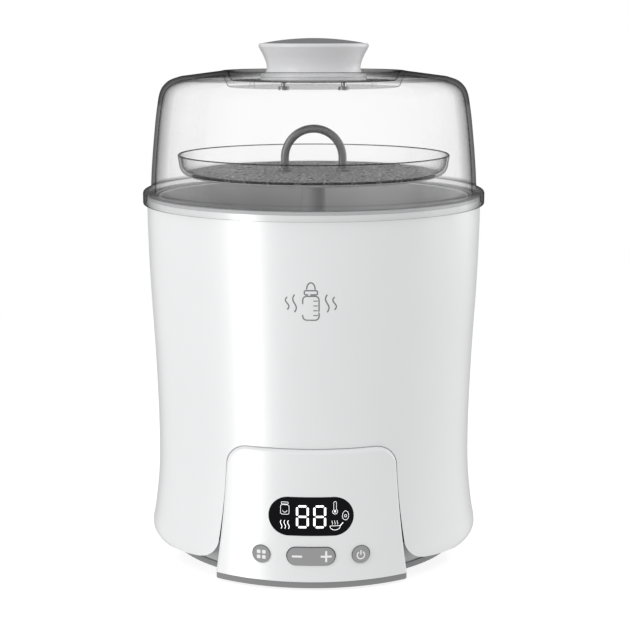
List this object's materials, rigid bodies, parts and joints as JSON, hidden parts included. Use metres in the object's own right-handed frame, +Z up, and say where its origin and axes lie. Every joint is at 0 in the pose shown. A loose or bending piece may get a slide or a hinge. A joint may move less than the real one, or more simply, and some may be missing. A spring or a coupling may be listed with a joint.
{
  "type": "bottle sterilizer",
  "caption": "Upright electric steam steriliser and dryer for feeding bottles: waisted round body, clear domed lid, lift-out tray and basket, front panel.",
  "frame": {"origin": "centre of the round body on the plane the rubber feet stand on", "axes": "+Z up, the control panel faces -Y, +X is to the right as seen from the front"},
  "size_m": [0.2296, 0.2296, 0.3435],
  "materials": {
    "white_gloss": "glossy moulded",
    "white_matte": "matte moulded",
    "light_grey": "satin moulded",
    "mid_grey": "satin moulded",
    "basket_grey": "fine satin moulded",
    "button_grey": "satin moulded",
    "cap_grey": "glossy moulded",
    "black_window": "polished",
    "black_plastic": "matte moulded",
    "clear_lid": "clear polished",
    "clear_tray": "smoky, clear wall",
    "rubber": "matte",
    "silicone": "matte translucent",
    "stainless": "brushed",
    "steel": "plated",
    "cast_aluminium": "as cast",
    "circuit_board": "solder mask",
    "filter_media": "pleated fleece"
  },
  "bodies": {
    "housing": {"base_plate": "mid_grey", "panel_skirt": "light_grey", "rubber_feet": "rubber", "base_screws": "steel", "outer_shell": "white_gloss", "shell_ring": "light_grey", "panel_housing": "white_gloss", "display_window": "black_window", "air_hood": "light_grey", "display_module": "white_matte", "control_board": "circuit_board", "tact_switches": "black_plastic", "power_board": "circuit_board", "power_components": "black_plastic", "cord_gland": "rubber", "terminal_block": "white_matte", "steam_chamber": "light_grey", "heating_plate": "stainless", "plate_gasket": "silicone", "clamp_ring": "steel", "clamp_screws": "steel", "heater_block": "cast_aluminium", "heater_element": "steel", "thermostat": "black_plastic", "thermal_fuse": "white_matte", "fan_housing": "black_plastic", "fan_motor": "steel", "air_heater": "cast_aluminium", "air_duct": "light_grey", "filter_housing": "black_plastic"},
    "mode_key": {"mode_button": "button_grey"},
    "power_key": {"power_button": "button_grey"},
    "rocker": {"adjust_rocker": "button_grey"},
    "fan_rotor": {"fan_impeller": "black_plastic"},
    "filter": {"filter_cassette": "white_gloss", "filter_element": "filter_media"},
    "basket": {"bottle_basket": "basket_grey", "basket_foot": "basket_grey", "bottle_pegs": "basket_grey", "basket_column": "basket_grey"},
    "tray": {"accessory_tray": "clear_tray", "tray_spigot": "basket_grey", "tray_handle": "basket_grey"},
    "lid": {"lid_dome": "clear_lid", "lid_knob": "white_gloss", "knob_cap": "cap_grey", "knob_screws": "steel"}
  },
  "joints": [
    {"name": "basket_lift", "type": "slide", "parent": "housing", "child": "basket", "axis": [0, 0, 1], "range_m": [0, 0.17]},
    {"name": "tray_lift", "type": "slide", "parent": "basket", "child": "tray", "axis": [0, 0, 1], "range_m": [0, 0.06]},
    {"name": "lid_lift", "type": "slide", "parent": "tray", "child": "lid", "axis": [0, 0, 1], "range_m": [0, 0.12]},
    {"name": "mode_press", "type": "slide", "parent": "housing", "child": "mode_key", "axis": [0, 1, 0], "range_m": [0, 0.0006], "stiffness_N_per_m": 1500, "springref_m": -0.0003},
    {"name": "power_press", "type": "slide", "parent": "housing", "child": "power_key", "axis": [0, 1, 0], "range_m": [0, 0.0006], "stiffness_N_per_m": 1500, "springref_m": -0.0003},
    {"name": "rocker_tilt", "type": "hinge", "parent": "housing", "child": "rocker", "pos_m": [0, -0.1075, 0.0231], "axis": [0, 0, 1], "range_deg": [-2.5, 2.5], "stiffness_Nm_per_rad": 0.3},
    {"name": "fan_spin", "type": "hinge", "parent": "housing", "child": "fan_rotor", "pos_m": [0.034, 0.034, 0.022], "axis": [0, 0, 1], "continuous": true},
    {"name": "filter_pull", "type": "slide", "parent": "housing", "child": "filter", "axis": [0, 1, 0], "range_m": [0, 0.036]}
  ]
}
